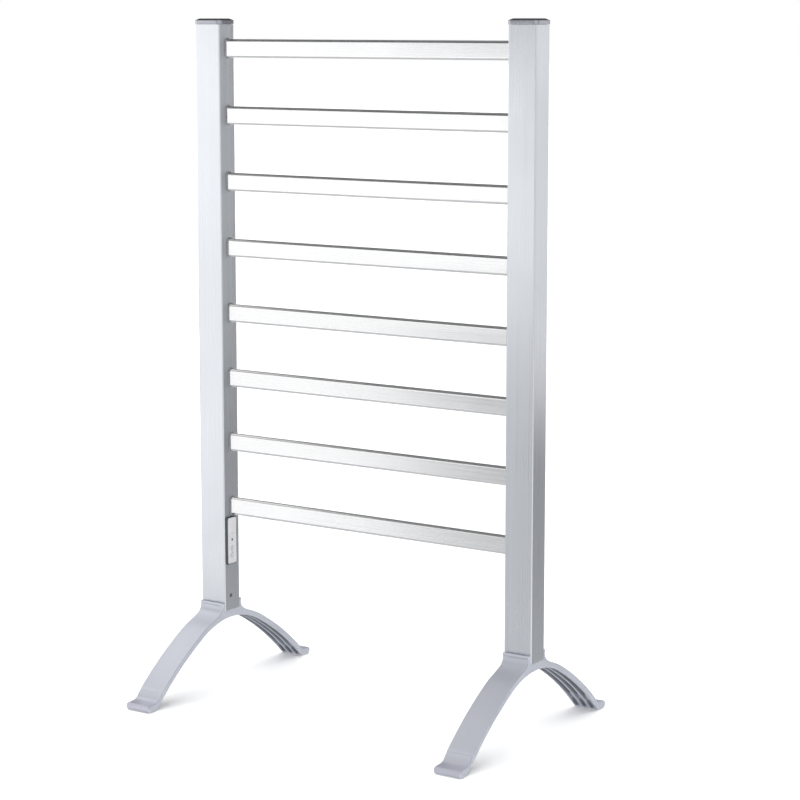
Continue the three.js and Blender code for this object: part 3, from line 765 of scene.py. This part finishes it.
def groove_section(sign):
    """The cutter for the grooves under a leg, from far below it up to the leg's skin."""
    depth = LEG_THICKNESS - SKIN_THICKNESS
    radius = CROWN_RADIUS + depth
    start = math.pi / 2 - math.asin(GROOVE_START / radius)
    points = [(LEG_END + OVERCUT, CROWN_Z), (GROOVE_START, CROWN_Z)]
    points += arc(0, CROWN_Z, radius, start, math.pi / 2 - CROWN_ANGLE, 4)
    points += leg_curve(depth, KNEE_Y + depth * math.sin(CROWN_ANGLE), LEG_END + OVERCUT)
    return anticlockwise(without_repeats([(sign * y, z) for y, z in points]))


def make_foot(side, sign):
    node = f"{side}_foot"
    x = centre_mm(node).x
    body = rounded_plate(foot_outline(), FOOT_WIDTH, FOOT_EDGE, x)
    reach = POST_WALL + 2 * CLEARANCE
    tools = []
    for leg in (-1, 1):
        section = groove_section(leg)
        for offset in (-GROOVE_SPACING, 0, GROOVE_SPACING):
            tools.append(prism_x(section, x + offset - GROOVE_WIDTH / 2, x + offset + GROOVE_WIDTH / 2))
    outer = rounded_rect(POST_SIZE.x - 2 * reach, POST_SIZE.y - 2 * reach, SPIGOT_CORNER, 4, (x, 0))
    hollow_size = [size - 2 * (reach + SPIGOT_WALL) for size in (POST_SIZE.x, POST_SIZE.y)]
    hollow = rounded_rect(*hollow_size, SPIGOT_BORE_CORNER, 4, (x, 0))
    spigot = skin([along_z(outer, SADDLE_FLOOR - OVERCUT), along_z(outer, SPIGOT_TOP)])
    tools.append(skin([along_z(hollow, SADDLE_FLOOR), along_z(hollow, SPIGOT_TOP + OVERCUT)]))
    screw = centre_mm(f"{side}_foot_screw")
    bore = circle(screw.y, screw.z, SCREW_BORE_RADIUS, 24)
    tools.append(prism_x(bore, x - sign * POST_SIZE.x / 2, x - sign * (hollow_size[0] / 2 - OVERCUT)))
    saddle = POST_SIZE.y / 2 + SADDLE_GAP
    low = (x - POST_SIZE.x / 2, -saddle, SADDLE_FLOOR)
    high = (x + POST_SIZE.x / 2, saddle, WALL_TOP + OVERCUT)
    saddle_box = block(low, high)
    joined = carve(carve(body, [saddle_box]), [spigot], "UNION")
    piece(f"{side}_arched_foot", carve(joined, tools), "cast_foot", "frame", node)


def shoe_outline():
    """The toe shoe's outline in (Y, Z): from the leg's end over the toe to the sole and the heel."""
    start = LEG_END + CLEARANCE
    slope = leg_angle(LEG_END, LEG_THICKNESS)
    down = 1.5 * math.pi
    heel = leg_angle(SOLE_START - HEEL_RADIUS * HEEL_SHARE, 0)
    level_z = TOE_HEIGHT + LEVEL_RISE
    upper_y = TOE_TIP - TIP_UPPER_RADIUS
    upper_z = TOE_HEIGHT - TIP_UPPER_RADIUS
    lower_y = TOE_TIP - TIP_LOWER_RADIUS
    points = [(start, leg_height(start, 0)), (start, leg_height(start, LEG_THICKNESS))]
    points += arc(LEVEL_Y, level_z, LEVEL_RADIUS, down - slope, down - LEVEL_END, 14)
    points += arc(upper_y, upper_z, TIP_UPPER_RADIUS, math.pi / 2, 0, 10)
    points += arc(lower_y, TIP_LOWER_Z, TIP_LOWER_RADIUS, 0, -math.pi / 2 - TIP_TUCK, 10)
    points += [(SOLE_END, 0), (SOLE_START, 0)]
    points += arc(SOLE_START, HEEL_RADIUS, HEEL_RADIUS, down, down - heel, 8)
    return points


def make_shoe(side, end):
    node = f"{side}_{end}_shoe"
    x = centre_mm(node).x
    facing = 1 if end == "rear" else -1
    outline = [(facing * y, z) for y, z in shoe_outline()]
    body = rounded_plate(outline, FOOT_WIDTH, SHOE_EDGE, x)
    top = LEG_THICKNESS - SKIN_THICKNESS - TONGUE_GAP
    low = top - TONGUE_THICKNESS
    tip = LEG_END - TONGUE_LENGTH
    root = LEG_END + TONGUE_ROOT
    corners = ((tip, low), (root, low), (root, top), (tip, top))
    tongue = anticlockwise([(facing * y, leg_height(y, offset)) for y, offset in corners])
    front = LEG_END - OVERCUT
    hollow = [(front, -OVERCUT), (HEEL_HOLLOW_END, -OVERCUT)]
    steps = 6
    for step in range(steps + 1):
        y = HEEL_HOLLOW_END + (front - HEEL_HOLLOW_END) * step / steps
        hollow.append((y, leg_height(y, top - HOLLOW_DROP)))
    hollow = anticlockwise([(facing * y, z) for y, z in hollow])
    wide = GROOVE_WIDTH / 2
    narrow = wide - CLEARANCE
    tongues = []
    hollows = []
    for offset in (-GROOVE_SPACING, 0, GROOVE_SPACING):
        tongues.append(prism_x(tongue, x + offset - narrow, x + offset + narrow))
        hollows.append(prism_x(hollow, x + offset - wide, x + offset + wide))
    shape = carve(carve(body, hollows), tongues, "UNION")
    piece(f"{side}_{end}_toe", shape, "toe_shoe", "frame", node)


def make_screw(side, sign):
    """A countersunk cross-head screw, seen as a small dark disc in the post's inner face."""
    node = f"{side}_foot_screw"
    middle = centre_mm(node)
    seat = INNER_FACE + POST_WALL + CLEARANCE
    steps = [
        (-9, 0.9),
        (-7.5, SCREW_RADIUS),
        (0, SCREW_RADIUS),
        (0, 2.4),
        (0.2, 2.6),
        (0.9, 2.6),
        (1.25, 2.35),
        (1.5, 1.7),
    ]
    start = (sign * seat, middle.y, middle.z)
    shape = turned(steps, start, "x" if sign < 0 else "-x")
    above = sign * (seat - CROSS_START)
    floor = above + sign * CROSS_DEPTH
    tools = []
    for dy, dz in ((CROSS_ARM, CROSS_HALF_WIDTH), (CROSS_HALF_WIDTH, CROSS_ARM)):
        low = (min(above, floor), middle.y - dy, middle.z - dz)
        high = (max(above, floor), middle.y + dy, middle.z + dz)
        tools.append(block(low, high))
    piece(f"{side}_cross_screw", carve(shape, tools), "dark_screw", "frame", node)


# ---------------------------------------------------------------- control module


def make_housing():
    middle = centre_mm("control_housing")
    size = size_mm("control_housing")
    centre = (middle.y, middle.z)

    def ring(width, height, radius, off):
        """off is how far the ring stands off the post's inner face."""
        return along_x(rounded_rect(width, height, radius, 8, centre), -INNER_FACE + off)

    room = [length - 2 * BOX_WALL for length in BOX_SIZE]
    # The recess's mouth has a small chamfer, and three rings round the flange's front edge.
    rings = [
        ring(*room, BOX_BORE_CORNER, BOX_WALL - BOX_DEPTH),
        ring(*room, BOX_BORE_CORNER, RECESS_FLOOR),
        ring(*RECESS_SIZE, RECESS_CORNER, RECESS_FLOOR),
        ring(*RECESS_SIZE, RECESS_CORNER, MODULE_PROUD - 0.15),
        ring(RECESS_SIZE[0] + 0.25, RECESS_SIZE[1] + 0.25, RECESS_CORNER + 0.1, MODULE_PROUD),
        ring(size.y - 1.0, size.z - 1.0, MODULE_CORNER - 0.4, MODULE_PROUD),
        ring(size.y - 0.3, size.z - 0.3, MODULE_CORNER - 0.1, MODULE_PROUD - 0.18),
        ring(size.y, size.z, MODULE_CORNER, MODULE_PROUD - 0.5),
        ring(size.y, size.z, MODULE_CORNER, CLEARANCE),
        ring(*BOX_SIZE, BOX_CORNER, CLEARANCE),
        ring(*BOX_SIZE, BOX_CORNER, -BOX_DEPTH),
    ]
    slot_top = middle.z - LEAD_SLOT_TOP
    low = (-INNER_FACE + LEAD_SLOT[0], middle.y - LEAD_SLOT_HALF_WIDTH, slot_top - LEAD_SLOT_HEIGHT)
    high = (-INNER_FACE + LEAD_SLOT[1], middle.y + LEAD_SLOT_HALF_WIDTH, slot_top)
    casing = carve(skin(rings), [block(low, high)])
    piece("control_casing", casing, "housing_gloss", "frame", "control_housing")


def make_plate():
    middle = centre_mm("control_face_plate")
    size = size_mm("control_face_plate")

    def ring(shrink, off):
        """shrink is taken off the plate's width and height, off is as in the housing."""
        corner = PLATE_CORNER - shrink / 2
        points = rounded_rect(size.y - shrink, size.z - shrink, corner, 8, (middle.y, middle.z))
        return along_x(points, -INNER_FACE + off)

    back = PLATE_PROUD - PLATE_THICKNESS
    rings = [
        ring(0, back),
        ring(0, PLATE_PROUD - 0.2),
        ring(0.12, PLATE_PROUD - 0.06),
        ring(0.4, PLATE_PROUD),
    ]
    tools = []
    for name, radius in CONTROL_HOLES:
        place = centre_mm(name)
        hole = circle(place.y, place.z, radius, 48)
        tools.append(prism_x(hole, -INNER_FACE + back - OVERCUT, -INNER_FACE + PLATE_PROUD + OVERCUT))
    piece("control_fascia", carve(skin(rings), tools), "face_plate", "frame", "control_face_plate")


def make_button(name):
    """A push button with a shallow dish in its face, a retaining flange and a stem."""
    place = centre_mm(name)
    front = PLATE_PROUD + BUTTON_PROUD
    flange = PLATE_PROUD - PLATE_THICKNESS - CLEARANCE
    steps = [
        (-0.4, STEM_RADIUS - 0.3),
        (-0.1, STEM_RADIUS),
        (flange - BUTTON_FLANGE, STEM_RADIUS),
        (flange - BUTTON_FLANGE, BUTTON_RADIUS + BUTTON_FLANGE),
        (flange, BUTTON_RADIUS + BUTTON_FLANGE),
        (flange, BUTTON_RADIUS),
        (front - 0.35, BUTTON_RADIUS),
        (front - 0.1, BUTTON_RADIUS - 0.1),
        (front, BUTTON_RADIUS - 0.35),
        (front, BUTTON_RADIUS - 0.7),
        (front - 0.1, BUTTON_RADIUS - 1.1),
        (front - 0.2, 1.2),
        (front - 0.22, 0.4),
    ]
    shape = turned(steps, (-INNER_FACE, place.y, place.z), "x")
    piece(f"{name}_cap", shape, "button_plastic", name, name)


def make_lens():
    """A small domed window over the lamp, standing a little proud of the plate."""
    place = centre_mm("indicator_lens")
    steps = [(1.1, 1.2), (2.2, 1.5), (3.6, 1.5), (3.75, 1.4), (3.82, 1.1), (3.85, 0.5)]
    shape = turned(steps, (-INNER_FACE, place.y, place.z), "x", 32)
    piece("indicator_window", shape, "smoked_lens", "frame", "indicator_lens")


def make_gland():
    """The cord gland on the rear face: a shouldered body and a fluted clamping nut."""
    place = centre_mm("cord_gland")
    start = POST_SIZE.y / 2 - GLAND_INSIDE
    length = size_mm("cord_gland").y
    steps = [
        (0, 3.4),
        (0, 5.6),
        (0.3, 5.8),
        (8.3, 5.8),
        (8.3, 8.2),
        (8.6, 8.5),
        (12.6, 8.5),
        (13.0, 8.2),
        (13.2, 7.6),
        (17.6, 7.0),
        (19.2, 6.4),
        (length - 0.3, 5.3),
        (length, 4.8),
        (length, 3.5),
        (length - 0.4, 3.2),
        (0.3, 3.2),
    ]
    shape = turned(steps, (place.x, start, place.z), "y", 64, closed=True)
    flute = [(GLAND_INSIDE, FLUTE_RADIUS), (GLAND_INSIDE + FLUTE_LENGTH, FLUTE_RADIUS)]
    flutes = []
    for i in range(GLAND_FLUTES):
        angle = 2 * math.pi * (i + 0.5) / GLAND_FLUTES
        x = place.x + FLUTE_CIRCLE * math.cos(angle)
        z = place.z + FLUTE_CIRCLE * math.sin(angle)
        flutes.append(turned(flute, (x, start, z), "y", 16))
    piece("gland_body", carve(shape, flutes), "gland_plastic", "frame", "cord_gland")


def make_earth_screw():
    """A pan-head screw with one straight slot, on the rear face above the gland."""
    place = centre_mm("earth_screw")
    face = POST_SIZE.y / 2
    steps = [
        (-6, 1.4),
        (-5.4, SCREW_RADIUS),
        (0.3, SCREW_RADIUS),
        (0.3, 3.2),
        (0.45, 3.4),
        (1.7, 3.4),
        (2.2, 2.9),
        (EARTH_HEAD, 1.8),
    ]
    shape = turned(steps, (place.x, face, place.z), "y", 40)
    low = (place.x - EARTH_SLOT[0], face + EARTH_SLOT[2], place.z - EARTH_SLOT[1])
    high = (place.x + EARTH_SLOT[0], face + EARTH_HEAD + OVERCUT, place.z + EARTH_SLOT[1])
    piece("earth_post_screw", carve(shape, [block(low, high)]), "plated_screw", "frame", "earth_screw")


# ---------------------------------------------------------------- studio and camera

# Places, sizes and lengths here are in metres.
CAMERA_PLACE = (1.701, -2.4717, 0.9026)
CAMERA_AZIMUTH = 33.68  # degrees
CAMERA_DROP = 8.46  # degrees below the horizon
CAMERA_LENS = 105.2  # mm
CAMERA_SENSOR = 36.0  # mm
CAMERA_SHIFT = -0.04

FLOOR_HALF = 40.0
FLOOR_COLOUR = (0.93, 0.93, 0.93)
FLOOR_GLOW = 0.18

SKY_PLACE = (-0.3, -0.5, 3.0)
SKY_STRENGTH = 3.4
SKY_SPREAD = math.radians(85)

# Each soft box: its name, its place, the point it faces, its width and height, and its radiance.
SOFTBOXES = (
    ("left_front", (-1.35, -1.2, 0.45), (-1.35, 0, 0.45), (1.3, 1.4), 0.68),
    ("low_front", (-0.48, -1.2, 0.6), (-0.48, 0, 0.6), (0.45, 0.5), 0.8),
    ("right_rear", (1.15, 0.9, 0.85), (1.15, 0, 0.85), (1.04, 1.2), 0.68),
    ("left_top", (-0.8, -0.05, 0.95), (0, -0.05, 0.95), (0.9, 0.7), 0.85),
    ("rear", (0, 1.7, 0.6), (0, 0, 0.6), (0.6, 1.2), 0.75),
)

# The studio as the metal sees it: how bright each height is, from straight down to straight up.
STUDIO_LEVELS = (
    (-1.0, 0.50),
    (-0.42, 0.55),
    (-0.30, 0.86),
    (-0.17, 0.24),
    (-0.04, 0.50),
    (0.17, 0.52),
    (0.30, 0.05),
    (0.62, 0.05),
    (0.90, 0.20),
    (1.0, 0.30),
)
STUDIO_TINT = (1.0, 1.02, 1.05)
# Towards one side it is darker and towards another brighter: each side's direction, the cosine from
# it at which the change starts, and what the brightness is multiplied by in the side's middle.
STUDIO_SIDES = (
    ((0.56, 0.79, 0.25), 0.5, 0.52),
    ((0.83, -0.55, 0.0), 0.25, 2.0),
)


def make_camera():
    data = bpy.data.cameras.new("camera")
    data.lens = CAMERA_LENS
    data.sensor_width = CAMERA_SENSOR
    data.shift_y = CAMERA_SHIFT
    camera = bpy.data.objects.new("camera", data)
    camera.location = CAMERA_PLACE
    camera.rotation_euler = (math.radians(90 - CAMERA_DROP), 0, math.radians(CAMERA_AZIMUTH))
    bpy.context.scene.collection.objects.link(camera)
    bpy.context.scene.camera = camera


def make_floor():
    shape = bmesh.new()
    bmesh.ops.create_grid(shape, x_segments=1, y_segments=1, size=FLOOR_HALF)
    mesh = bpy.data.meshes.new("floor")
    shape.to_mesh(mesh)
    shape.free()
    floor = bpy.data.objects.new("floor", mesh)
    floor.visible_glossy = False  # the metal reflects the studio's lower half instead
    material = bpy.data.materials.new("floor")
    material.use_nodes = True
    shader = material.node_tree.nodes["Principled BSDF"]
    shader.inputs["Base Color"].default_value = (*FLOOR_COLOUR, 1)
    shader.inputs["Roughness"].default_value = 0.9
    shader.inputs["Specular IOR Level"].default_value = 0.1
    shader.inputs["Emission Color"].default_value = (1, 1, 1, 1)
    shader.inputs["Emission Strength"].default_value = FLOOR_GLOW
    mesh.materials.append(material)
    bpy.context.scene.collection.objects.link(floor)


def aimed(name, data, place, target):
    """A light at a place, turned to shine on a target."""
    light = bpy.data.objects.new(name, data)
    light.location = place
    light.rotation_euler = (Vector(target) - Vector(place)).to_track_quat("-Z", "Y").to_euler()
    light.visible_camera = False
    bpy.context.scene.collection.objects.link(light)
    return light


def make_softbox(name, place, target, size, radiance):
    """A soft box whose face shines with a given radiance."""
    data = bpy.data.lights.new(name, "AREA")
    data.shape = "RECTANGLE"
    data.size, data.size_y = size
    data.energy = radiance * math.pi * size[0] * size[1]
    aimed(name, data, place, target)


def make_sky():
    """The sun is a wide overhead source that whitens the floor and leaves no highlight on metal."""
    data = bpy.data.lights.new("sky", "SUN")
    data.energy = SKY_STRENGTH
    data.angle = SKY_SPREAD
    aimed("sky", data, SKY_PLACE, (0, 0, 0)).visible_glossy = False


def make_world():
    """The studio's levels by height and side for everything but the camera, which sees plain white."""
    world = bpy.data.worlds.new("studio")
    world.use_nodes = True
    tree = world.node_tree
    background = tree.nodes["Background"]
    place = tree.nodes.new("ShaderNodeTexCoord")
    split = tree.nodes.new("ShaderNodeSeparateXYZ")
    height = tree.nodes.new("ShaderNodeMapRange")
    height.inputs["From Min"].default_value = -1.0
    ramp = tree.nodes.new("ShaderNodeValToRGB")
    tree.links.new(place.outputs["Generated"], split.inputs["Vector"])
    tree.links.new(split.outputs["Z"], height.inputs["Value"])
    tree.links.new(height.outputs["Result"], ramp.inputs["Fac"])
    stops = ramp.color_ramp.elements
    while len(stops) < len(STUDIO_LEVELS):
        stops.new(0.5)  # anywhere: each stop gets its position below
    for stop, (level, light) in zip(stops, STUDIO_LEVELS):
        stop.position = (level + 1) / 2
        stop.color = (*scaled(STUDIO_TINT, light), 1)
    seen = tree.nodes.new("ShaderNodeBackground")
    seen.inputs["Color"].default_value = (1, 1, 1, 1)
    path = tree.nodes.new("ShaderNodeLightPath")
    either = tree.nodes.new("ShaderNodeMixShader")
    total = tree.nodes.new("ShaderNodeMath")
    total.operation = "MULTIPLY"
    for socket, (side, start, factor) in zip(total.inputs, STUDIO_SIDES):
        facing = tree.nodes.new("ShaderNodeVectorMath")
        facing.operation = "DOT_PRODUCT"
        facing.inputs[1].default_value = side
        share = tree.nodes.new("ShaderNodeMapRange")
        share.inputs["From Min"].default_value = start
        share.inputs["To Min"].default_value = 1.0
        share.inputs["To Max"].default_value = factor
        tree.links.new(place.outputs["Generated"], facing.inputs[0])
        tree.links.new(facing.outputs["Value"], share.inputs["Value"])
        tree.links.new(share.outputs["Result"], socket)
    tree.links.new(total.outputs["Value"], background.inputs["Strength"])
    tree.links.new(ramp.outputs["Color"], background.inputs["Color"])
    tree.links.new(path.outputs["Is Camera Ray"], either.inputs["Fac"])
    tree.links.new(background.outputs["Background"], either.inputs[1])
    tree.links.new(seen.outputs["Background"], either.inputs[2])
    tree.links.new(either.outputs["Shader"], tree.nodes["World Output"].inputs["Surface"])
    bpy.context.scene.world = world


def make_studio():
    make_world()
    make_sky()
    for softbox in SOFTBOXES:
        make_softbox(*softbox)
    bpy.context.scene.view_settings.view_transform = "Standard"


# ---------------------------------------------------------------- assembly

make_camera()
make_studio()
make_floor()
finish_nodes()
for side, sign in SIDES:
    make_post(side, sign)
    make_cap(side)
    make_foot(side, sign)
    make_screw(side, sign)
    for end in ("front", "rear"):
        make_shoe(side, end)
    for index in range(BAR_COUNT):
        make_bush(side, sign, index)
for index in range(BAR_COUNT):
    make_bar(index)
make_housing()
make_plate()
make_button("power_button")
make_button("timer_button")
make_lens()
make_gland()
make_earth_screw()
